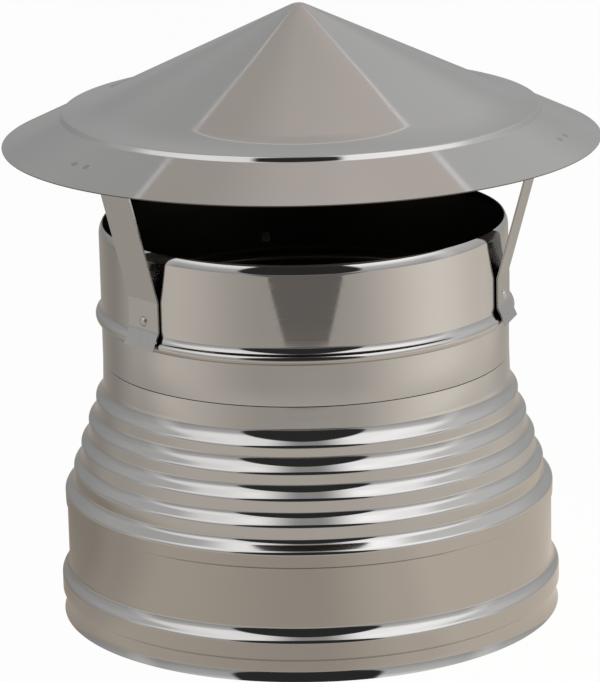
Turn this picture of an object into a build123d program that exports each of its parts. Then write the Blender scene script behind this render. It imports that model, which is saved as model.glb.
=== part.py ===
"""Conical flue cap: a spun hat on three flat struts, above a flue collar and a stepped, flared base shell.

Millimetres, +Z up, floor at z = 0, axis of the flue on Z. The side that faces -Y is the front.
"""
import os
from math import acos, asin, atan2, cos, degrees, hypot, radians, sin, tan

from build123d import *

os.makedirs("parts", exist_ok=True)

# Thickness of the body sheet, the hat sheet and the strut strip
sheet = 0.6
hat_sheet = 0.8
strip = 1.0

# Outside radii of the collar, the base wall and the brim
collar_r = 125.4
base_r = 150.75
brim_r = 182.3

# Base shell from the floor up: flared lip, crease, expanded band, straight wall, stepped flare and neck
lip_round = 20.0
lip_turn = 27.0
foot_height = 3.15
crease_drop = 2.0
crease_depth = 2.8
crease_round = 0.8
band_height = 15.3
band_proud = 4.65
band_drop = 4.4
band_foot_round = 9.4
band_crest_round = 3.4
wall_height = 39.5
wall_top_round = 20.0
flare_steps = 5
flare_pitch = 14.8
flare_drop = 5.2
flare_tuck = 0.6
flare_crest_round = 3.0
neck_foot_round = 12.0
foot_round_ratio = 0.77
neck_height = 17.9

# Spigot of the base shell, plugged into the collar, and the fine groove that shows at the seam
spigot_length = 18.0
lap_clearance = 0.3
groove = 0.55

# Flue collar: bead that sheds the rain, and rim rolled inward
collar_height = 85.1
bead_rise = 28.4
bead_proud = 3.5
bead_round = 3.6
bead_foot_round = 6.0
rim_roll_height = 6.5
rim_roll_depth = 2.0

# Hat: clear gap above the rim, cone, rounded tip, raised shoulder ring and step down to the brim
hat_gap = 49.4
cone_angle = 25.4
tip_round = 12.0
brim_width = 35.7
step_height = 2.9
step_width = 1.6
shoulder_width = 15.5
shoulder_angle = 10.2
shoulder_root_round = 25.0
shoulder_round = 1.5
step_foot_round = 1.0

# Struts: flat strips that follow the collar, splay out to the brim and end in a tab under it
strut_angles = {"strut_rear": 101.3, "strut_left": 220.3, "strut_right": 342.3}
strip_width = 27.5
seat_gap = 0.1
kick_margin = 1.2
kick_round = 8.0
foot_drop = 2.0
wall_run = 18.8
fold_margin = 4.5
tab_clearance = 0.2
tab_margin = 11.0
bend_round = 2.0

# Blind rivets through the strut feet
rivet_r = 2.0
rivet_clearance = 0.15
rivet_head_r = 3.3
rivet_head_height = 1.9
rivet_margin = 0.3
rivet_tail_r = 2.8
rivet_tail_length = 2.6

# Heights of the seams and edges, worked up from the floor
lip_top_z = (lip_round + sheet) * sin(radians(lip_turn))
crease_z = lip_top_z + foot_height
band_foot_z = crease_z + crease_drop
band_top_z = band_foot_z + band_height
wall_top_z = band_top_z + wall_height
flare_top_z = wall_top_z + flare_steps * flare_pitch
seam_z = flare_top_z + neck_height
bead_z = seam_z + bead_rise
rim_z = seam_z + collar_height
brim_z = rim_z + hat_gap

# Base shell, drawn as its outside skin from the spigot down and thickened inward
spigot_r = collar_r - sheet - lap_clearance
flare_step = (base_r - collar_r) / flare_steps
band_r = base_r + band_proud
foot_r = band_r - crease_depth
flare_corners = []
flare_rounds = []

# Each foot of the flare is turned tighter than the one above it
for step in range(flare_steps):
    step_in_r = collar_r + step * flare_step
    step_top_z = flare_top_z - step * flare_pitch
    flare_corners += [(step_in_r, step_top_z), (step_in_r + flare_step + flare_tuck, step_top_z - flare_drop)]
    flare_rounds += [neck_foot_round * foot_round_ratio**step, flare_crest_round]

with BuildPart() as base_shell:
    with BuildSketch(Plane.XZ):
        with BuildLine():
            Polyline((spigot_r, seam_z + spigot_length), (spigot_r, seam_z), (collar_r, seam_z - groove))
            FilletPolyline(
                (collar_r, seam_z - groove),
                *flare_corners,
                (base_r, wall_top_z),
                (base_r, band_top_z),
                (band_r, band_top_z - band_drop),
                (band_r, band_foot_z),
                (foot_r, crease_z),
                (foot_r, lip_top_z),
                radius=[*flare_rounds, wall_top_round, band_foot_round, band_crest_round, crease_round, crease_round],
            )
            JernArc((foot_r, lip_top_z), (0, -1), lip_round, lip_turn)
            offset(amount=sheet, side=Side.RIGHT)
        make_face()
    revolve(axis=Axis.Z)

base_shell.part.label = "base_shell"
export_step(base_shell.part, "parts/base_shell.step")

# The collar's bead leaves the wall in a sharp lower crease, rounds over and runs out in a soft upper foot
bead_turn = degrees(acos(1 - bead_proud / (bead_round + bead_foot_round)))
bead_return = degrees(acos(1 - bead_proud / bead_round))
bead_top_z = bead_z + (bead_round + bead_foot_round) * sin(radians(bead_turn))
bead_foot_z = bead_z - bead_round * sin(radians(bead_return))
bead_start = (sin(radians(bead_return)), cos(radians(bead_return)))

# Above the bead each strut kicks out to rest on it, and its rivet sits on the flat just above the kick
strut_wall_r = collar_r + seat_gap
kick_z = bead_top_z + kick_margin
bead_centre_r = collar_r + bead_proud - bead_round
kick_reach = hypot(strut_wall_r - bead_centre_r, kick_z - bead_z)
kick_angle = asin((bead_round + seat_gap) / kick_reach) - atan2(strut_wall_r - bead_centre_r, kick_z - bead_z)
rivet_z = kick_z + kick_round * tan(kick_angle / 2) + rivet_margin + rivet_head_r

# Each strut stands in its own upright plane: x is the distance from the axis and y the height
strut_planes = {}
rivet_planes = {}
for name, angle in strut_angles.items():
    outward = Vector(cos(radians(angle)), sin(radians(angle)), 0)
    strut_planes[name] = Plane(origin=(0, 0, 0), x_dir=outward, z_dir=outward.cross(Vector(0, 0, 1)))
    rivet_planes[name] = Plane(origin=outward * strut_wall_r + Vector(0, 0, rivet_z), z_dir=outward)
hole_reach = 2 * (strip + sheet)

with BuildPart() as flue_collar:
    with BuildSketch(Plane.XZ):
        with BuildLine():
            Line((collar_r, seam_z), (collar_r, bead_foot_z))
            bead = JernArc((collar_r, bead_foot_z), bead_start, bead_round, bead_return + bead_turn)
            foot = JernArc(bead @ 1, bead % 1, bead_foot_round, -bead_turn)
            wall = Line(foot @ 1, (collar_r, rim_z - rim_roll_height))
            TangentArc(wall @ 1, (collar_r - rim_roll_depth, rim_z), tangent=(0, 1))
            offset(amount=sheet, side=Side.LEFT)
        make_face()
    revolve(axis=Axis.Z)
    for plane in rivet_planes.values():
        with BuildSketch(plane):
            Circle(rivet_r + rivet_clearance)
        extrude(amount=hole_reach, both=True, mode=Mode.SUBTRACT)

flue_collar.part.label = "flue_collar"
export_step(flue_collar.part, "parts/flue_collar.step")

# Hat, drawn as its top skin from the tip out to the brim and thickened downward
slope = tan(radians(cone_angle))
step_r = brim_r - brim_width
shoulder_r = step_r - step_width
step_z = brim_z + brim_width * slope
shoulder_z = step_z + step_height
root_r = shoulder_r - shoulder_width
root_z = shoulder_z + shoulder_width * tan(radians(shoulder_angle))
apex_z = root_z + root_r * slope
tip_side_r = tip_round * sin(radians(cone_angle))
tip_side = (tip_side_r, apex_z - tip_side_r * slope)
tip_z = tip_side[1] + tip_round * (1 - cos(radians(cone_angle)))

with BuildPart() as hat:
    with BuildSketch(Plane.XZ):
        with BuildLine():
            TangentArc((0, tip_z), tip_side, tangent=(1, 0))
            FilletPolyline(
                tip_side,
                (root_r, root_z),
                (shoulder_r, shoulder_z),
                (step_r, step_z),
                (brim_r, brim_z),
                radius=[shoulder_root_round, shoulder_round, step_foot_round],
            )
            offset(amount=hat_sheet, side=Side.RIGHT)
        make_face()
    revolve(axis=Axis.Z)

hat.part.label = "hat"
export_step(hat.part, "parts/hat.step")

# Strut line along the face that lies on the collar and under the hat, from the foot up to the tab
strut_foot_z = bead_z - foot_drop
strut_foot_r = strut_wall_r + (kick_z - strut_foot_z) * tan(kick_angle)
fold_r = step_r + fold_margin
tab_r = brim_r - tab_margin
tab_sag = (hypot(fold_r, strip_width / 2) - fold_r) * slope
tab_drop = hat_sheet / cos(radians(cone_angle)) + tab_sag + tab_clearance
fold_z = brim_z + (brim_r - fold_r) * slope - tab_drop
tab_z = brim_z + (brim_r - tab_r) * slope - tab_drop

for name, plane in strut_planes.items():
    with BuildPart() as strut:
        with BuildSketch(plane):
            with BuildLine():
                FilletPolyline(
                    (strut_foot_r, strut_foot_z),
                    (strut_wall_r, kick_z),
                    (strut_wall_r, kick_z + wall_run),
                    (fold_r, fold_z),
                    (tab_r, tab_z),
                    radius=[kick_round, bend_round + strip, bend_round + strip],
                )
                offset(amount=strip, side=Side.RIGHT)
            make_face()
        extrude(amount=strip_width / 2, both=True)
        with BuildSketch(rivet_planes[name]):
            Circle(rivet_r + rivet_clearance)
        extrude(amount=hole_reach, both=True, mode=Mode.SUBTRACT)
    strut.part.label = name
    export_step(strut.part, f"parts/{name}.step")

# Rivets: domed head on the strip, shank through strip and collar, and the spread tail inside
head_seat_r = strut_wall_r + strip
tail_seat_r = collar_r - sheet - rivet_clearance

with BuildPart() as strut_rivets:
    for plane in strut_planes.values():
        with BuildSketch(plane):
            with BuildLine():
                crown = (head_seat_r + rivet_head_height, rivet_z)
                dome = TangentArc(crown, (head_seat_r, rivet_z + rivet_head_r), tangent=(0, 1))
                Polyline(
                    dome @ 1,
                    (head_seat_r, rivet_z + rivet_r),
                    (tail_seat_r, rivet_z + rivet_r),
                    (tail_seat_r, rivet_z + rivet_tail_r),
                    (tail_seat_r - rivet_tail_length, rivet_z + rivet_tail_r),
                    (tail_seat_r - rivet_tail_length, rivet_z),
                    crown,
                )
            make_face()
        revolve(axis=Axis((0, 0, rivet_z), plane.x_dir))

strut_rivets.part.label = "strut_rivets"
export_step(strut_rivets.part, "parts/strut_rivets.step")
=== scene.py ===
"""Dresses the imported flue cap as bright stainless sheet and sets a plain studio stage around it."""
from itertools import accumulate
from math import acos, atan, ceil, cos, radians, sin, tan

import bmesh
import bpy
from mathutils import Matrix, Vector


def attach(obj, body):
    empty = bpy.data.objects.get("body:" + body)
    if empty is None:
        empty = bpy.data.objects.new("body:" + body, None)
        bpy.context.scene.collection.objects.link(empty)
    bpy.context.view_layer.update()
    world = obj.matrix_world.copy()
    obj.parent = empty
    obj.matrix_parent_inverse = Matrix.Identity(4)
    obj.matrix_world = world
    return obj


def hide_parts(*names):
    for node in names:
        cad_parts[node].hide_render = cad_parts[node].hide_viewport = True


bl_info = {
    "name": "Flue Cap Dresser",
    "version": (1, 0, 0),
    "blender": (4, 5, 0),
    "location": "3D View > Sidebar > Flue Cap",
    "description": "Turned sheet, stainless finishes, weld marks and a studio stage for a conical flue cap",
    "category": "Object",
}

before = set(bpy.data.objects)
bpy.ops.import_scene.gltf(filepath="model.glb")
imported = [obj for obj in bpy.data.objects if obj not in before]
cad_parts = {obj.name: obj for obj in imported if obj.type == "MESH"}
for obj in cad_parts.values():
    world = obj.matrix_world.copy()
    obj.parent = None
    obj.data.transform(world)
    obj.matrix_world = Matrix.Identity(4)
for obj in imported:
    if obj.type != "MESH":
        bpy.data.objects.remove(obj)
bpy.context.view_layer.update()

MM = 0.001
FULL_TURN = radians(360)
WHITE = (1, 1, 1, 1)
STRUTS = {"strut_left": radians(220.3), "strut_right": radians(342.3), "strut_rear": radians(101.3)}

# Fineness of turned sheet: steps round the axis, and the turn and length of each step along a bend
TURNS = 152
BEND_STEP = radians(3)
CHORD = 0.9 * MM

# Distance from the ends of a flat run to the loops that hold it true
HOLD = 0.25 * MM

# Turn at which an edge is sharp, and the distance within which points are one
SHARP = radians(24)
MERGE = 0.001 * MM

# Lean toward the axis at which a face is inside, and how near a cut edge it lies, as a share of the sheet
INSIDE_LEAN = -0.02
EDGE_SHARE = 0.25

# Weld marks: turn of each from the middle of its strut, points round it, rings inward and fall of its crown
WELD_OFFSETS = (radians(-4), 0)
WELD_POINTS = 24
WELD_RINGS = (1.0, 0.7, 0.35)
WELD_FALL = 0.8

# Part of the grain's noise that counts, and the roughness at its ends against the sheet's own
GRAIN_RANGE = (0.3, 0.7)
POLISH_RANGE = (0.7, 1.5)

# Shader nodes that the materials repeat, each with its setting
TIMES = ("ShaderNodeMath", {"operation": "MULTIPLY"})
TIMES_PLUS = ("ShaderNodeMath", {"operation": "MULTIPLY_ADD"})
PLUS = ("ShaderNodeMath", {"operation": "ADD"})
MINUS = ("ShaderNodeMath", {"operation": "SUBTRACT"})
OVER = ("ShaderNodeMath", {"operation": "DIVIDE"})
SIZE_OF = ("ShaderNodeMath", {"operation": "ABSOLUTE"})
LARGER = ("ShaderNodeMath", {"operation": "MAXIMUM"})
SMALLER = ("ShaderNodeMath", {"operation": "MINIMUM"})
BEARING = ("ShaderNodeMath", {"operation": "ARCTAN2"})
LENGTH_OF = ("ShaderNodeVectorMath", {"operation": "LENGTH"})
SOFT_STEP = ("ShaderNodeMapRange", {"interpolation_type": "SMOOTHSTEP"})
LEVEL_MIX = ("ShaderNodeMix", {"data_type": "FLOAT"})
COLOUR_MIX = ("ShaderNodeMix", {"data_type": "RGBA"})

# Heights of the floor and of the cards on it, each a little above the last
FLOOR_Z = -0.5 * MM
BENCH_Z = -0.3 * MM
GAP_Z = -0.2 * MM
FLUE_SHADE_Z = -0.1 * MM

# Share of plain white in the floor as it is seen, the rest takes shadow
FLOOR_WHITE = 0.97

# Light on the bench at each turn from the front in degrees: in the cap's shade, past it and further out
BENCH_SHADED = (
    (-180, 0.2), (-165, 0.33), (-130, 0.29), (-100, 0.33), (-80, 0.43), (-55, 0.55), (0, 0.45),
    (30, 0.63), (45, 0.71), (110, 0.69), (145, 0.55), (168, 0.45), (180, 0.2)
)
BENCH_LIT = (
    (-180, 0.2), (-165, 0.38), (-130, 0.33), (-100, 0.48), (-50, 0.64), (0, 0.61),
    (50, 0.7), (100, 0.74), (145, 0.5), (168, 0.42), (180, 0.2)
)
BENCH_OUTER = (
    (-180, 0.2), (-165, 0.36), (-130, 0.33), (-100, 0.54), (-75, 0.73), (-20, 0.47),
    (15, 0.5), (75, 1.0), (110, 0.8), (145, 0.48), (168, 0.42), (180, 0.2)
)

# Distances from the axis over which the shade ends, and over which the outer light takes over
SHADE_EDGE = (0.357, 0.378)
OUTER_EDGE = (0.64, 0.74)

# Outline of the gap in the bench under the tent's opening, and the radius of the painted shade inside the
# flue
GAP_OUTLINE = ((-0.15, -0.83), (0.16, -0.83), (0.36, -1.0), (1.7, -2.4), (-1.6, -2.4), (-0.34, -1.0))
FLUE_SHADE_R = 150 * MM

# Height of the tent's middle, and its segments round and up
TENT_Z = 190 * MM
TENT_SEGMENTS = (96, 48)

# Light on the tent at each turn from the front and at each rise, in degrees, and how it dims near the bench
TENT_AROUND = (
    (-180, 0.54), (-150, 0.48), (-115, 0.56), (-95, 0.62), (-78, 1.08), (-55, 1.2), (-30, 1.15),
    (30, 1.35), (60, 1.43), (78, 1.32), (95, 0.82), (115, 0.76), (150, 0.64), (180, 0.54)
)
TENT_UPWARD = ((-5, 0.66), (12, 0.8), (35, 1.0), (60, 1.0), (72, 1.2), (90, 0.9))
TENT_LOW = ((-5, 0.5), (15, 0.6), (30, 1.0), (90, 1.0))

# Turns from the front over which the dimming near the bench ends, and over which the tent's back begins
TENT_SIDES = (radians(70), radians(92))
TENT_BACK = (radians(105), radians(125))

# Seam at the back of the roof: its rise, how it fades to both sides, and how much brighter it is
SEAM_RISE = radians(52.9)
SEAM_FADE = (radians(0.15), radians(0.8))
SEAM_GAIN = 0.45

# Roof cloth above the seam: how it starts there, and how much brighter it is
ROOF_START = (radians(-0.4), radians(1.2))
ROOF_GAIN = 0.08

# Shade of the roof above the opening: its fade across and along as shares of the tent's radius, and its level
ROOF_SHADE_ACROSS = (0.05, 0.32)
ROOF_SHADE_ALONG = (-0.05, 0.2)
ROOF_SHADE_LEVEL = 0.4

# Opening: turn of its middle, half width, rise of its widest line, height above and below it, edge and level
ARCH_TURN = radians(-2.5)
ARCH_HALF_WIDTH = radians(34)
ARCH_RISE = radians(9)
ARCH_ABOVE = radians(50)
ARCH_BELOW = radians(16)
ARCH_EDGE = (0.93, 1.04)
ARCH_LEVEL = 0.035

# Width of the camera's sensor in millimetres, and how far it sees
SENSOR_WIDTH = 36.0
SIGHT = 50.0


def length(name, description, millimetres):
    """A length in a property group, given in millimetres and kept in metres."""
    return bpy.props.FloatProperty(
        name=name, description=description, default=millimetres * MM, precision=5, unit="LENGTH"
    )


def angle(name, description, degrees):
    """An angle in a property group, given in degrees."""
    return bpy.props.FloatProperty(
        name=name, description=description, default=radians(degrees), subtype="ANGLE"
    )


def number(name, description, value):
    """A plain number in a property group, zero or more."""
    return bpy.props.FloatProperty(name=name, description=description, default=value, min=0.0)


def tint(name, description, hex_colour):
    """A colour in a property group, as an sRGB hex value."""
    return bpy.props.StringProperty(name=name, description=description, default=hex_colour)


class FlueCapSheet(bpy.types.PropertyGroup):
    """Thickness of the sheets and the radii that the pieces share."""

    body_sheet: length("Body sheet", "Thickness of the collar and the base shell", 0.6)
    hat_sheet: length("Hat sheet", "Thickness of the hat", 0.8)
    collar_r: length("Collar radius", "Outside radius of the collar", 125.4)
    base_r: length("Base radius", "Outside radius of the base wall", 150.75)
    brim_r: length("Brim radius", "Outside radius of the brim", 182.3)
    collar_height: length("Collar height", "From the seam to the rim", 85.1)
    hat_gap: length("Hat gap", "Clear height from the rim to the edge of the brim", 49.4)


class FlueCapBase(bpy.types.PropertyGroup):
    """Base shell, from the floor up."""

    lip_round: length("Lip round", "Radius of the flared bottom lip", 20.0)
    lip_turn: angle("Lip turn", "How far the bottom lip turns out", 27.0)
    foot_height: length("Foot height", "Height of the plain wall between lip and crease", 3.15)
    crease_drop: length("Crease drop", "Height of the crease under the band", 2.0)
    crease_depth: length("Crease depth", "Depth of the crease under the band", 2.8)
    crease_round: length("Crease round", "Radius at the edges of the crease", 0.8)
    band_height: length("Band height", "Height of the expanded band", 15.3)
    band_proud: length("Band step", "How far the band stands out from the wall", 4.65)
    band_drop: length("Band drop", "Height in which the band steps out", 4.4)
    band_foot_round: length("Band foot round", "Radius where the wall turns out to the band", 9.4)
    band_crest_round: length("Band crest round", "Radius at the top of the band", 3.4)
    wall_height: length("Wall height", "Height of the straight wall", 39.5)
    wall_step: length("Wall step", "How far the wall sits in under the last band of the flare", 0.8)
    wall_step_drop: length("Wall step drop", "Height in which the wall steps in", 1.1)
    wall_step_round: length("Wall step round", "Radius at the edges of the wall's step", 0.3)
    flare_pitch: length("Flare pitch", "Height of one step of the flare", 14.8)
    flare_drop: length("Flare drop", "Height in which the middle step turns out", 5.15)
    flare_ease: length("Flare ease", "How much less height each step takes than the one above", 0.1)
    flare_tuck: length("Flare tuck", "How far each band leans back in under its crest", 0.2)
    flare_crest_round: length("Flare crest round", "Radius at the crest of each step", 3.0)
    neck_foot_round: length("Neck foot round", "Radius where the neck turns out to the flare", 12.0)
    neck_height: length("Neck height", "From the flare to the seam", 17.9)
    neck_lean: length("Neck lean", "How far the neck leans out down to the flare", 0.5)
    spigot_length: length("Spigot length", "Length of the spigot inside the collar", 18.0)
    lap_clearance: length("Lap clearance", "Gap between spigot and collar", 0.3)
    groove: length("Groove", "Height of the fine groove at the seam", 0.55)
    flare_steps: bpy.props.IntProperty(
        name="Flare steps", description="Steps in the flare", default=5, min=1
    )
    foot_round_ratio: number("Foot round ratio", "Radius of each flare foot against the one above", 0.77)


class FlueCapCollar(bpy.types.PropertyGroup):
    """Bead and rim of the flue collar."""

    bead_rise: length("Bead rise", "From the seam to the middle of the bead", 28.4)
    bead_proud: length("Bead height", "How far the bead stands out", 3.5)
    bead_round: length("Bead round", "Radius of the bead", 3.6)
    bead_foot_round: length("Bead foot round", "Radius of the bead's upper foot", 6.0)
    rim_roll_height: length("Rim roll height", "Height of the rolled rim", 6.5)
    rim_roll_depth: length("Rim roll depth", "How far the rim rolls in", 2.0)


class FlueCapHat(bpy.types.PropertyGroup):
    """Cone, shoulder ring and brim."""

    tip_round: length("Tip round", "Radius of the rounded tip", 12.0)
    brim_width: length("Brim width", "Width of the brim outside the step", 35.7)
    step_height: length("Step height", "Height of the step above the brim", 2.9)
    step_width: length("Step width", "Width of the step", 1.6)
    shoulder_width: length("Shoulder width", "Width of the raised shoulder ring", 15.5)
    shoulder_root_round: length("Shoulder root round", "Radius where cone and shoulder meet", 80.0)
    shoulder_round: length("Shoulder round", "Radius at the top of the step", 1.5)
    step_foot_round: length("Step foot round", "Radius at the foot of the step", 1.0)
    cone_angle: angle("Cone angle", "Slope of the cone and the brim", 25.4)
    shoulder_angle: angle("Shoulder angle", "Slope of the shoulder ring", 10.2)


class FlueCapFinish(bpy.types.PropertyGroup):
    """Colours and polish of the cap's metals."""

    sheet_colour: tint("Sheet colour", "sRGB colour of the bright stainless sheet", "#C9C8C7")
    sheet_shade: tint("Sheet shade", "sRGB colour of the sheet where it is slightly dulled", "#C4C3C2")
    sheet_polish: number("Sheet roughness", "Roughness of the bright sheet", 0.05)
    strip_dullness: number("Strip dullness", "Roughness of the strut strip against the bright sheet", 4.0)
    rivet_dullness: number("Rivet dullness", "Roughness of the rivets against the bright sheet", 6.0)
    # The inside colour is partly the mill finish's grey and partly painted shade
    inside_grey_and_shade: tint("Inside grey and shade", "sRGB colour of the dull inside of the sheet, darkened as painted shade", "#6E6B67")
    inside_dullness: number("Inside roughness", "Roughness of the inside of the sheet", 0.3)
    weld_tint: tint("Weld tint", "sRGB colour of the heat tint on a spot weld", "#B4ADA4")
    weld_dullness: number("Weld roughness", "Roughness of a spot weld's mark", 0.15)
    weld_r: length("Weld radius", "Radius of one spot weld's mark", 2.2)
    weld_place_r: length("Weld place", "Distance of the weld marks from the axis", 165.0)
    weld_crown: length("Weld crown", "Height of the mark above the brim", 0.04)
    ring_spacing: length("Ring spacing", "Spacing of the forming rings around the sheet", 1.6)
    ring_length: length("Ring length", "Length over which a forming ring keeps its strength", 250)
    ring_depth: length("Ring depth", "Depth of the forming rings", 0.002)
    smudge_size: length("Smudge size", "Size of the faint dull patches on the sheet", 71.4)
    wave_length: length("Sheet wave", "Length of the soft waves left in the thin sheet", 70)
    wave_depth: length("Wave depth", "Depth of the soft waves", 0.1)


class FlueCapStage(bpy.types.PropertyGroup):
    """Camera, floor and light tent."""

    camera_place: bpy.props.FloatVectorProperty(
        name="Camera place", description="Where the camera stands", default=(-0.00363, -2.2845, 0.7913),
        precision=5, subtype="TRANSLATION", unit="LENGTH"
    )
    camera_pitch: angle("Camera pitch", "How far the camera looks down", 15.287)
    camera_roll: angle("Camera roll", "Turn of the camera about its own line of sight", -1.3)
    camera_lens: number("Camera lens", "Focal length in millimetres", 230.0)
    tent_radius: length("Tent radius", "Radius of the light tent", 3000)
    tent_cloth: tint("Tent cloth", "sRGB colour of the tent's cloth", "#FFFFFF")
    roof_cloth: tint("Roof cloth", "sRGB colour of the warmer cloth at the back of the roof", "#FFF6EF")
    bench_near: tint("Bench near", "sRGB colour of the bench close to the cap", "#FFF2E2")
    bench_far: tint("Bench far", "sRGB colour of the bench further out", "#FFF7EC")
    gap_colour: tint("Gap colour", "sRGB colour of the gap in the bench", "#77726E")
    # The flue's colour is painted shade, on a dark disc under the cap
    flue_shade_colour: tint("Flue shade colour", "sRGB colour of the painted shade inside the flue", "#0A0908")
    floor_colour: tint("Floor colour", "sRGB colour of the pale floor", "#F6F5F3")


def linear(hex_colour):
    """Linear RGBA of an sRGB hex colour."""
    channels = [int(hex_colour[i:i + 2], 16) / 255 for i in (1, 3, 5)]
    return [c / 12.92 if c <= 0.04045 else ((c + 0.055) / 1.055) ** 2.4 for c in channels] + [1.0]


def add_node(tree, kind, settings=None, inputs=()):
    """Adds one shader node with its settings, and fills or links its sockets, given by name or in order."""
    node = tree.nodes.new(kind)
    for option, value in (settings or {}).items():
        setattr(node, option, value)
    for socket, value in inputs.items() if isinstance(inputs, dict) else enumerate(inputs):
        if isinstance(value, bpy.types.Node):
            value = value.outputs[0]
        if isinstance(value, bpy.types.NodeSocket):
            tree.links.new(value, node.inputs[socket])
        else:
            node.inputs[socket].default_value = value
    return node


def new_material(name):
    """An empty node material and its tree."""
    material = bpy.data.materials.new(name)
    material.use_nodes = True
    material.node_tree.nodes.clear()
    return material, material.node_tree


def dress(node, material):
    """Puts one material on a CAD node."""
    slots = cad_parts[node].data.materials
    slots.clear()
    slots.append(material)


def link_mesh(name, mesh):
    """A new object for a mesh, in the scene's own collection."""
    thing = bpy.data.objects.new(name, mesh)
    bpy.context.scene.collection.objects.link(thing)
    return thing


def disc(radius, count=96):
    """Points on a circle about the origin."""
    spins = [FULL_TURN * i / count for i in range(count)]
    return [(radius * cos(spin), radius * sin(spin)) for spin in spins]


def bend(skin, heading, radius, turn):
    """Runs the skin on round a bend, to the left for a positive turn, and returns the new heading."""
    side = Vector((-heading.y, heading.x)) * (1 if turn > 0 else -1)
    centre = skin[-1] + side * radius
    start = skin[-1] - centre
    steps = max(2, ceil(abs(turn) / BEND_STEP), ceil(abs(turn) * radius / CHORD))
    for step in range(1, steps + 1):
        skin.append(centre + Matrix.Rotation(turn * step / steps, 2) @ start)
    return Matrix.Rotation(turn, 2) @ heading


def run_on(skin, corners, radii):
    """Runs the skin on along straight lines whose inner corners are rounded, each by its own radius."""
    places = [skin[-1], *map(Vector, corners)]
    for before, corner, after, radius in zip(places, places[1:], places[2:], radii):
        heading = (corner - before).normalized()
        leaving = (after - corner).normalized()
        turn = -heading.angle_signed(leaving)
        skin.append(corner - heading * radius * tan(abs(turn) / 2))
        bend(skin, heading, radius, turn)
    skin.append(places[-1])


def held(skin):
    """The skin with a point near each end of every straight run, which keeps the run's shading flat."""
    points = [skin[0]]
    for start, end in zip(skin, skin[1:]):
        run = end - start
        if run.length > 4 * HOLD:
            points += [start + run.normalized() * HOLD, end - run.normalized() * HOLD]
        points.append(end)
    return points


def inner_skin(skin, thickness):
    """The other face of a sheet, on the right hand of its skin."""
    normals = [Vector((run.y, -run.x)).normalized() for run in (b - a for a, b in zip(skin, skin[1:]))]
    corners = zip([normals[0], *normals], [*normals, normals[-1]])
    return [point + (a + b) * thickness / (1 + a.dot(b)) for point, (a, b) in zip(skin, corners)]


def turned_mesh(name, profile, closed):
    """A mesh turned about the Z axis from a profile of radius and height."""
    shape = bmesh.new()
    rings = []
    for step in range(TURNS):
        spin = FULL_TURN * step / TURNS
        rings.append([shape.verts.new((p.x * cos(spin), p.x * sin(spin), p.y)) for p in profile])
    last = len(profile) if closed else len(profile) - 1
    for ring, other in zip(rings, rings[1:] + rings[:1]):
        for i in range(last):
            j = (i + 1) % len(profile)
            shape.faces.new((ring[i], ring[j], other[j], other[i]))
    bmesh.ops.remove_doubles(shape, verts=shape.verts, dist=MERGE)
    bmesh.ops.recalc_face_normals(shape, faces=shape.faces)
    mesh = bpy.data.meshes.new(name)
    shape.to_mesh(mesh)
    shape.free()
    mesh.shade_smooth()
    mesh.set_sharp_from_angle(angle=SHARP)
    return mesh


def turned_sheet(name, skin, thickness, node, material, inside):
    """A turned sheet that stands for its CAD node, bright outside, and dull and darkened with painted shade
    inside and at its cut edges.
    """
    skin = held(skin)
    profile = skin + inner_skin(skin, thickness)[::-1]
    piece = link_mesh(name, turned_mesh(name, profile, closed=skin[0].x > thickness))
    piece.data.materials.append(material)
    piece.data.materials.append(inside)
    edges = [(skin[0] + profile[-1]) / 2, (skin[-1] + profile[len(skin)]) / 2]
    for face in piece.data.polygons:
        outward = Vector((face.center.x, face.center.y, 0))
        place = Vector((outward.length, face.center.z))
        cut = min((place - edge).length for edge in edges) < thickness * EDGE_SHARE
        face.material_index = int(cut or face.normal.dot(outward.normalized()) < INSIDE_LEAN)
    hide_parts(node)
    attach(piece, "root")


def plain_metal(name, colour, roughness):
    """A metal with one colour and one roughness."""
    material, tree = new_material(name)
    metal = add_node(
        tree, "ShaderNodeBsdfPrincipled",
        inputs={"Base Color": linear(colour), "Metallic": 1.0, "Roughness": roughness},
    )
    add_node(tree, "ShaderNodeOutputMaterial", inputs={"Surface": metal})
    return material


def inside_metal(finish):
    """The dull mill finish inside the cap, darkened as painted shade, made once and shared by its sheets."""
    # Sheet polished on one face only keeps a grey, soft face inside, which mirrors nothing clearly, and its
    # colour is darkened further as painted shade of the cap's dark inside
    name = "mill finish stainless inside with painted shade"
    return bpy.data.materials.get(name) or plain_metal(name, finish.inside_grey_and_shade, finish.inside_dullness)


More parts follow.
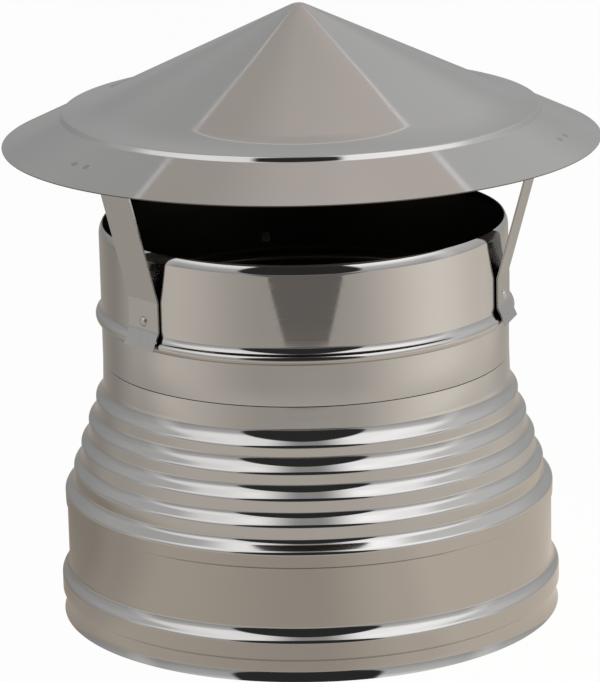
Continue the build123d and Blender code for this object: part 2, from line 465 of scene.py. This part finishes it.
def stainless(name, finish, along, dullness=1.0):
    """Bright stainless sheet. Forming leaves faint rings that run across the direction given by along."""
    # Bright annealed sheet mirrors its surroundings, a little softened, and thin sheet is never quite true
    material, tree = new_material(name)
    place = add_node(tree, "ShaderNodeTexCoord").outputs["Object"]

    # The real rings are too fine to show, so they are drawn as coarse as they need to be
    stretch = [1 / finish.ring_spacing if axis in along else 1 / finish.ring_length for axis in "XYZ"]
    rings = add_node(tree, "ShaderNodeMapping", inputs={"Vector": place, "Scale": stretch})
    grain = add_node(
        tree, "ShaderNodeTexNoise", inputs={"Vector": rings, "Scale": 1.0, "Detail": 3.0}
    ).outputs["Fac"]
    waves = add_node(
        tree, "ShaderNodeTexNoise", inputs={"Vector": place, "Scale": 1 / finish.wave_length, "Detail": 1.0}
    ).outputs["Fac"]
    smudge = add_node(
        tree, "ShaderNodeTexNoise", inputs={"Vector": place, "Scale": 1 / finish.smudge_size, "Detail": 4.0}
    ).outputs["Fac"]
    tone = add_node(
        tree, *COLOUR_MIX, {0: smudge, 6: linear(finish.sheet_colour), 7: linear(finish.sheet_shade)}
    ).outputs[2]
    shine = [finish.sheet_polish * part * dullness for part in POLISH_RANGE]
    polish = add_node(tree, "ShaderNodeMapRange", inputs=(grain, *GRAIN_RANGE, *shine))
    wavy = add_node(
        tree, "ShaderNodeBump", inputs={"Height": waves, "Distance": finish.wave_depth, "Strength": 1.0}
    )
    ringed = add_node(
        tree, "ShaderNodeBump",
        inputs={"Height": grain, "Distance": finish.ring_depth, "Strength": 1.0, "Normal": wavy},
    )
    metal = add_node(
        tree, "ShaderNodeBsdfPrincipled",
        inputs={"Base Color": tone, "Metallic": 1.0, "Roughness": polish, "Normal": ringed},
    )
    add_node(tree, "ShaderNodeOutputMaterial", inputs={"Surface": metal})
    return material


def base_heights(sheet, base):
    """Heights of the lip's top, crease, band's foot and top, wall's top, flare's top and seam."""
    lip_top_z = (base.lip_round + sheet.body_sheet) * sin(base.lip_turn)
    climbs = (base.foot_height, base.crease_drop, base.band_height, base.wall_height,
              base.flare_steps * base.flare_pitch, base.neck_height)
    return list(accumulate(climbs, initial=lip_top_z))


def brim_height(scene):
    """Height of the brim's edge."""
    sheet = scene.flue_cap_sheet
    return base_heights(sheet, scene.flue_cap_base)[-1] + sheet.collar_height + sheet.hat_gap


class FLUECAP_OT_base_shell(bpy.types.Operator):
    """Turns the base shell: spigot, neck, stepped flare, wall, expanded band and flared lip"""

    bl_idname = "fluecap.base_shell"
    bl_label = "Turn the base shell"

    def execute(self, context):
        sheet, base = context.scene.flue_cap_sheet, context.scene.flue_cap_base
        spigot_r = sheet.collar_r - sheet.body_sheet - base.lap_clearance
        heights = base_heights(sheet, base)
        lip_top_z, crease_z, band_foot_z, band_top_z, wall_top_z, flare_top_z, seam_z = heights
        flare_step = (sheet.base_r - sheet.collar_r) / base.flare_steps
        band_r = sheet.base_r + base.band_proud
        foot_r = band_r - base.crease_depth
        corners = []
        rounds = []
        for step in range(base.flare_steps):
            foot = Vector((sheet.collar_r + step * flare_step, flare_top_z - step * base.flare_pitch))
            drop = base.flare_drop + base.flare_ease * ((base.flare_steps - 1) / 2 - step)
            corners += [foot, foot + Vector((flare_step + base.flare_tuck, -drop))]
            rounds += [base.neck_foot_round * base.foot_round_ratio**step, base.flare_crest_round]
        corners[0] = corners[0] + Vector((base.neck_lean, 0))
        corners[-1] = corners[-1] + Vector((base.wall_step, 0))
        corners += [(sheet.base_r + base.wall_step, wall_top_z + base.wall_step_drop)]
        corners += [(sheet.base_r, wall_top_z), (sheet.base_r, band_top_z)]
        corners += [(band_r, band_top_z - base.band_drop)]
        corners += [(band_r, band_foot_z), (foot_r, crease_z), (foot_r, lip_top_z)]
        rounds += [base.wall_step_round, base.wall_step_round, base.band_foot_round, base.band_crest_round]
        rounds += [base.crease_round, base.crease_round]

        skin = [Vector((spigot_r, seam_z + base.spigot_length)), Vector((spigot_r, seam_z))]
        skin.append(Vector((sheet.collar_r, seam_z - base.groove)))
        run_on(skin, corners, rounds)
        bend(skin, Vector((0, -1)), base.lip_round, base.lip_turn)
        finish = context.scene.flue_cap_finish
        metal = stainless("rolled stainless sheet", finish, "Z")
        inside = inside_metal(finish)
        turned_sheet("turned_base_shell", skin, sheet.body_sheet, "base_shell", metal, inside)
        return {"FINISHED"}


class FLUECAP_OT_flue_collar(bpy.types.Operator):
    """Turns the flue collar with its rolled rim and its bead"""

    bl_idname = "fluecap.flue_collar"
    bl_label = "Turn the flue collar"

    def execute(self, context):
        sheet, collar = context.scene.flue_cap_sheet, context.scene.flue_cap_collar
        seam_z = base_heights(sheet, context.scene.flue_cap_base)[-1]
        rim_z = seam_z + sheet.collar_height
        bead_z = seam_z + collar.bead_rise
        bead_turn = acos(1 - collar.bead_proud / (collar.bead_round + collar.bead_foot_round))
        bead_return = acos(1 - collar.bead_proud / collar.bead_round)
        bead_top_z = bead_z + (collar.bead_round + collar.bead_foot_round) * sin(bead_turn)
        rim_turn = 2 * atan(collar.rim_roll_depth / collar.rim_roll_height)

        down = Vector((0, -1))
        skin = [Vector((sheet.collar_r - collar.rim_roll_depth, rim_z))]
        bend(skin, Matrix.Rotation(rim_turn, 2) @ down, collar.rim_roll_height / sin(rim_turn), -rim_turn)
        skin.append(Vector((sheet.collar_r, bead_top_z)))
        over_bead = bend(skin, down, collar.bead_foot_round, bead_turn)
        bend(skin, over_bead, collar.bead_round, -bead_turn - bead_return)
        skin.append(Vector((sheet.collar_r, seam_z)))
        metal = bpy.data.materials["rolled stainless sheet"]
        inside = inside_metal(context.scene.flue_cap_finish)
        turned_sheet(
            "turned_flue_collar", skin, sheet.body_sheet, "flue_collar", metal, inside
        )
        return {"FINISHED"}


class FLUECAP_OT_hat(bpy.types.Operator):
    """Turns the hat: rounded tip, cone, raised shoulder ring, step and brim"""

    bl_idname = "fluecap.hat"
    bl_label = "Turn the hat"

    def execute(self, context):
        sheet, hat = context.scene.flue_cap_sheet, context.scene.flue_cap_hat
        slope = tan(hat.cone_angle)
        brim_z = brim_height(context.scene)
        step = Vector((sheet.brim_r - hat.brim_width, brim_z + hat.brim_width * slope))
        shoulder = step + Vector((-hat.step_width, hat.step_height))
        root = shoulder + Vector((-hat.shoulder_width, hat.shoulder_width * tan(hat.shoulder_angle)))
        tip_z = root.y + root.x * slope - hat.tip_round * (1 / cos(hat.cone_angle) - 1)

        skin = [Vector((0, tip_z))]
        bend(skin, Vector((1, 0)), hat.tip_round, -hat.cone_angle)
        rounds = [hat.shoulder_root_round, hat.shoulder_round, hat.step_foot_round]
        run_on(skin, [root, shoulder, step, (sheet.brim_r, brim_z)], rounds)
        finish = context.scene.flue_cap_finish
        metal = stainless("spun stainless sheet", finish, "Z")
        turned_sheet("turned_hat", skin, sheet.hat_sheet, "hat", metal, inside_metal(finish))
        return {"FINISHED"}


class FLUECAP_OT_weld_marks(bpy.types.Operator):
    """Lays the faint marks of the spot welds on the brim, two above each strut's tab"""

    bl_idname = "fluecap.weld_marks"
    bl_label = "Lay the weld marks"

    def execute(self, context):
        scene = context.scene
        sheet, hat, finish = scene.flue_cap_sheet, scene.flue_cap_hat, scene.flue_cap_finish
        place_z = brim_height(scene) + (sheet.brim_r - finish.weld_place_r) * tan(hat.cone_angle)
        slant = Matrix.Rotation(hat.cone_angle, 4, "Y")
        on_brim = Matrix.Translation((finish.weld_place_r, 0, place_z)) @ slant
        shape = bmesh.new()
        for strut_turn in STRUTS.values():
            for offset in WELD_OFFSETS:
                lie = Matrix.Rotation(strut_turn + offset, 4, "Z") @ on_brim
                rings = []
                for out in WELD_RINGS:
                    rise = finish.weld_crown * (1 - WELD_FALL * out**2)
                    circle = disc(finish.weld_r * out, WELD_POINTS)
                    rings.append([shape.verts.new(lie @ Vector((x, y, rise))) for x, y in circle])
                for outer, inner in zip(rings, rings[1:]):
                    for i in range(WELD_POINTS):
                        j = (i + 1) % WELD_POINTS
                        shape.faces.new((outer[i], outer[j], inner[j], inner[i]))
                shape.faces.new(rings[-1])
        mesh = bpy.data.meshes.new("weld_marks")
        shape.to_mesh(mesh)
        shape.free()
        mesh.shade_smooth()
        marks = link_mesh("weld_marks", mesh)
        # The heat of a spot weld leaves a dull, straw coloured bruise on bright sheet
        bruise = plain_metal("heat tinted spot weld", finish.weld_tint, finish.weld_dullness)
        marks.data.materials.append(bruise)
        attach(marks, "root")
        return {"FINISHED"}


class FLUECAP_OT_struts(bpy.types.Operator):
    """Finishes the struts and their rivets"""

    bl_idname = "fluecap.struts"
    bl_label = "Finish the struts"

    def execute(self, context):
        finish = context.scene.flue_cap_finish
        metal = stainless("slit stainless strip", finish, "XY", finish.strip_dullness)
        for strut in STRUTS:
            dress(strut, metal)
        dress("strut_rivets", stainless("headed stainless rivet", finish, "Z", finish.rivet_dullness))
        return {"FINISHED"}


def flat_mesh(name, outline, height):
    """A flat face with the given outline at one height."""
    mesh = bpy.data.meshes.new(name)
    mesh.from_pydata([(x, y, height) for x, y in outline], [], [range(len(outline))])
    return mesh


def hide_from_camera(thing):
    """Leaves a stage piece to the metal's reflections alone."""
    thing.visible_camera = False
    thing.visible_shadow = False


def stage_card(name, outline, height, material):
    """A flat card on the stage that only the metal shows."""
    card = link_mesh(name, flat_mesh(name, outline, height))
    card.data.materials.append(material)
    hide_from_camera(card)


def glow(name, colour):
    """A plain glowing card."""
    material, tree = new_material(name)
    card = add_node(tree, "ShaderNodeEmission", inputs={"Color": linear(colour), "Strength": 1.0})
    add_node(tree, "ShaderNodeOutputMaterial", inputs={"Surface": card})
    return material


def levels(tree, value, stops):
    """A level that follows a value in degrees through a few stops, each a value and its level."""
    first, last = stops[0][0], stops[-1][0]
    share = add_node(tree, "ShaderNodeMapRange", inputs=(value, radians(first), radians(last)))
    ramp = add_node(tree, "ShaderNodeValToRGB", inputs=(share,))
    ramp.color_ramp.interpolation = "EASE"
    marks = ramp.color_ramp.elements
    marks[1].position, marks[1].color = 1.0, [stops[-1][1]] * 3 + [1]
    marks[0].color = [stops[0][1]] * 3 + [1]
    for degrees_in, level in stops[1:-1]:
        marks.new((degrees_in - first) / (last - first)).color = [level] * 3 + [1]
    return ramp


def bearings(tree):
    """Turn from the front, rise, and distance along the floor, all from the middle of a stage piece."""
    place = add_node(tree, "ShaderNodeTexCoord").outputs["Object"]
    across, along, up = add_node(tree, "ShaderNodeSeparateXYZ", inputs=(place,)).outputs
    on_floor = add_node(tree, "ShaderNodeCombineXYZ", inputs=(across, along))
    reach = add_node(tree, *LENGTH_OF, (on_floor,)).outputs["Value"]
    forward = add_node(tree, *TIMES, (along, -1.0))
    turn = add_node(tree, *BEARING, (across, forward))
    rise = add_node(tree, *BEARING, (up, reach))
    return turn, rise, reach


def floor_material(colour):
    """Pale floor that reads white to the eye and still takes a little shadow."""
    material, tree = new_material("pale studio floor")
    path = add_node(tree, "ShaderNodeLightPath").outputs
    seen = add_node(tree, *LARGER, (path["Is Camera Ray"], path["Is Glossy Ray"]))
    seen = add_node(tree, *LARGER, (seen, path["Is Transmission Ray"]))
    share = add_node(tree, *TIMES, (seen, FLOOR_WHITE))
    cloth = add_node(tree, "ShaderNodeBsdfDiffuse", inputs={"Color": linear(colour)})
    white = add_node(tree, "ShaderNodeEmission", inputs={"Color": WHITE, "Strength": 1.0})
    both = add_node(tree, "ShaderNodeMixShader", inputs=(share, cloth, white))
    add_node(tree, "ShaderNodeOutputMaterial", inputs={"Surface": both})
    return material


def bench_material(near_colour, far_colour):
    """Bench top that the metal shows: in the cap's shade close by, then lit from both sides further out."""
    material, tree = new_material("lit bench top")
    turn, _, reach = bearings(tree)
    shaded = levels(tree, turn, BENCH_SHADED)
    lit = levels(tree, turn, BENCH_LIT)
    outer = levels(tree, turn, BENCH_OUTER)
    out_of_shade = add_node(tree, *SOFT_STEP, (reach, *SHADE_EDGE))
    further_out = add_node(tree, *SOFT_STEP, (reach, *OUTER_EDGE))
    level = add_node(tree, *LEVEL_MIX, {0: out_of_shade, 2: shaded, 3: lit})
    level = add_node(tree, *LEVEL_MIX, {0: further_out, 2: level, 3: outer})
    colour = add_node(tree, *COLOUR_MIX, {0: out_of_shade, 6: linear(near_colour), 7: linear(far_colour)})
    top = add_node(tree, "ShaderNodeEmission", inputs={"Color": colour.outputs[2], "Strength": level})
    add_node(tree, "ShaderNodeOutputMaterial", inputs={"Surface": top})
    return material


def tent_material(radius, cloth, roof_cloth):
    """Cloth of the light tent, lit from outside: bright sides, a dim back and a dark opening in front."""
    material, tree = new_material("lit tent cloth")
    turn, rise, _ = bearings(tree)
    off_front = add_node(tree, *SIZE_OF, (turn,))
    aside = add_node(tree, *SOFT_STEP, (off_front, *TENT_SIDES))
    behind = add_node(tree, *SOFT_STEP, (off_front, *TENT_BACK))
    level = add_node(tree, *TIMES, (levels(tree, turn, TENT_AROUND), levels(tree, rise, TENT_UPWARD)))
    low = add_node(tree, *LEVEL_MIX, {0: aside, 2: levels(tree, rise, TENT_LOW), 3: 1.0})
    level = add_node(tree, *TIMES, (level, low))

    # A pale seam along the back of the roof, with warmer cloth above it, shows as the light wedge on the hat
    above_seam = add_node(tree, *MINUS, (rise, SEAM_RISE))
    off_seam = add_node(tree, *SIZE_OF, (above_seam,))
    seam = add_node(tree, *SOFT_STEP, (off_seam, *SEAM_FADE, SEAM_GAIN, 0.0))
    roof = add_node(tree, *SOFT_STEP, (above_seam, *ROOF_START))
    roof = add_node(tree, *TIMES, (roof, behind))
    level = add_node(tree, *TIMES, (level, add_node(tree, *TIMES_PLUS, (seam, behind, 1.0))))
    level = add_node(tree, *TIMES, (level, add_node(tree, *TIMES_PLUS, (roof, ROOF_GAIN, 1.0))))

    # Above the opening the roof hangs in shade
    place = add_node(tree, "ShaderNodeTexCoord").outputs["Object"]
    across, along, _ = add_node(tree, "ShaderNodeSeparateXYZ", inputs=(place,)).outputs
    off_line = add_node(tree, *SIZE_OF, (across,))
    in_line = add_node(tree, *SOFT_STEP, (off_line, *(radius * part for part in ROOF_SHADE_ACROSS), 1.0, 0.0))
    in_front = add_node(tree, *SOFT_STEP, (along, *(radius * part for part in ROOF_SHADE_ALONG), 1.0, 0.0))
    shade = add_node(tree, *TIMES, (in_line, in_front))
    level = add_node(tree, *LEVEL_MIX, {0: shade, 2: level, 3: ROOF_SHADE_LEVEL})

    # The opening is a rounded arch, widest a little above the bench
    width = add_node(tree, *OVER, (add_node(tree, *MINUS, (turn, ARCH_TURN)), ARCH_HALF_WIDTH))
    over = add_node(tree, *MINUS, (rise, ARCH_RISE))
    upper = add_node(tree, *OVER, (add_node(tree, *LARGER, (over, 0.0)), ARCH_ABOVE))
    lower = add_node(tree, *OVER, (add_node(tree, *SMALLER, (over, 0.0)), ARCH_BELOW))
    height = add_node(tree, *PLUS, (upper, lower))
    from_middle = add_node(tree, "ShaderNodeCombineXYZ", inputs=(width, height))
    out = add_node(tree, *LENGTH_OF, (from_middle,)).outputs["Value"]
    past_edge = add_node(tree, *SOFT_STEP, (out, *ARCH_EDGE))
    level = add_node(tree, *LEVEL_MIX, {0: past_edge, 2: ARCH_LEVEL, 3: level})

    colour = add_node(tree, *COLOUR_MIX, {0: roof, 6: linear(cloth), 7: linear(roof_cloth)})
    light = add_node(tree, "ShaderNodeEmission", inputs={"Color": colour.outputs[2], "Strength": level})
    add_node(tree, "ShaderNodeOutputMaterial", inputs={"Surface": light})
    return material


class FLUECAP_OT_stage(bpy.types.Operator):
    """Sets the floor, the light tent, the world and the camera"""

    bl_idname = "fluecap.stage"
    bl_label = "Set the stage"

    def execute(self, context):
        stage = context.scene.flue_cap_stage
        floor = link_mesh("floor", flat_mesh("floor", disc(stage.tent_radius * 2), FLOOR_Z))
        floor.data.materials.append(floor_material(stage.floor_colour))

        bench = bench_material(stage.bench_near, stage.bench_far)
        stage_card("bench_card", disc(stage.tent_radius), BENCH_Z, bench)
        gap = glow("dark room beyond the tent", stage.gap_colour)
        stage_card("gap_card", GAP_OUTLINE, GAP_Z, gap)
        # A near-black glowing disc under the cap is painted shade for the dark inside of the flue, which the
        # collar's inside shows
        flue = glow("painted shade of the flue", stage.flue_shade_colour)
        stage_card("flue_shade", disc(FLUE_SHADE_R), FLUE_SHADE_Z, flue)

        shape = bmesh.new()
        round_about, upward = TENT_SEGMENTS
        bmesh.ops.create_uvsphere(
            shape, u_segments=round_about, v_segments=upward, radius=stage.tent_radius
        )
        mesh = bpy.data.meshes.new("light_tent")
        shape.to_mesh(mesh)
        shape.free()
        tent = link_mesh("light_tent", mesh)
        tent.location = (0, 0, TENT_Z)
        tent.data.materials.append(tent_material(stage.tent_radius, stage.tent_cloth, stage.roof_cloth))
        hide_from_camera(tent)

        world = bpy.data.worlds.new("white studio")
        world.use_nodes = True
        backdrop = world.node_tree.nodes["Background"]
        backdrop.inputs["Color"].default_value = WHITE
        backdrop.inputs["Strength"].default_value = 1.0
        context.scene.world = world

        lens = bpy.data.cameras.new("camera")
        lens.sensor_fit = "HORIZONTAL"
        lens.sensor_width = SENSOR_WIDTH
        lens.lens = stage.camera_lens
        lens.clip_end = SIGHT
        camera = bpy.data.objects.new("camera", lens)
        context.scene.collection.objects.link(camera)
        aim = Matrix.Rotation(radians(90) - stage.camera_pitch, 4, "X")
        roll = Matrix.Rotation(stage.camera_roll, 4, "Z")
        camera.matrix_world = Matrix.Translation(stage.camera_place) @ aim @ roll
        context.scene.camera = camera
        context.scene.view_settings.view_transform = "Standard"
        return {"FINISHED"}


class FLUECAP_PT_panel(bpy.types.Panel):
    """Sidebar panel with the cap's sizes, its finishes and its stage"""

    bl_idname = "FLUECAP_PT_panel"
    bl_label = "Flue Cap"
    bl_space_type = "VIEW_3D"
    bl_region_type = "UI"
    bl_category = "Flue Cap"

    def draw(self, context):
        for group in GROUPS:
            for name in GROUPS[group].__annotations__:
                self.layout.prop(getattr(context.scene, group), name)
        for operator in OPERATORS:
            self.layout.operator(operator.bl_idname)


GROUPS = {
    "flue_cap_sheet": FlueCapSheet,
    "flue_cap_base": FlueCapBase,
    "flue_cap_collar": FlueCapCollar,
    "flue_cap_hat": FlueCapHat,
    "flue_cap_finish": FlueCapFinish,
    "flue_cap_stage": FlueCapStage,
}
OPERATORS = (
    FLUECAP_OT_base_shell, FLUECAP_OT_flue_collar, FLUECAP_OT_hat, FLUECAP_OT_weld_marks, FLUECAP_OT_struts,
    FLUECAP_OT_stage
)


def register():
    """Registers the classes and hangs the property groups on the scene."""
    for kind in (*GROUPS.values(), *OPERATORS, FLUECAP_PT_panel):
        bpy.utils.register_class(kind)
    for name, group in GROUPS.items():
        setattr(bpy.types.Scene, name, bpy.props.PointerProperty(type=group))


def unregister():
    """Takes the property groups and classes away again."""
    for name in GROUPS:
        delattr(bpy.types.Scene, name)
    for kind in (FLUECAP_PT_panel, *reversed(OPERATORS), *GROUPS.values()):
        bpy.utils.unregister_class(kind)


def main():
    register()
    bpy.ops.fluecap.base_shell()
    bpy.ops.fluecap.flue_collar()
    bpy.ops.fluecap.hat()
    bpy.ops.fluecap.weld_marks()
    bpy.ops.fluecap.struts()
    bpy.ops.fluecap.stage()


if __name__ == "__main__":
    main()
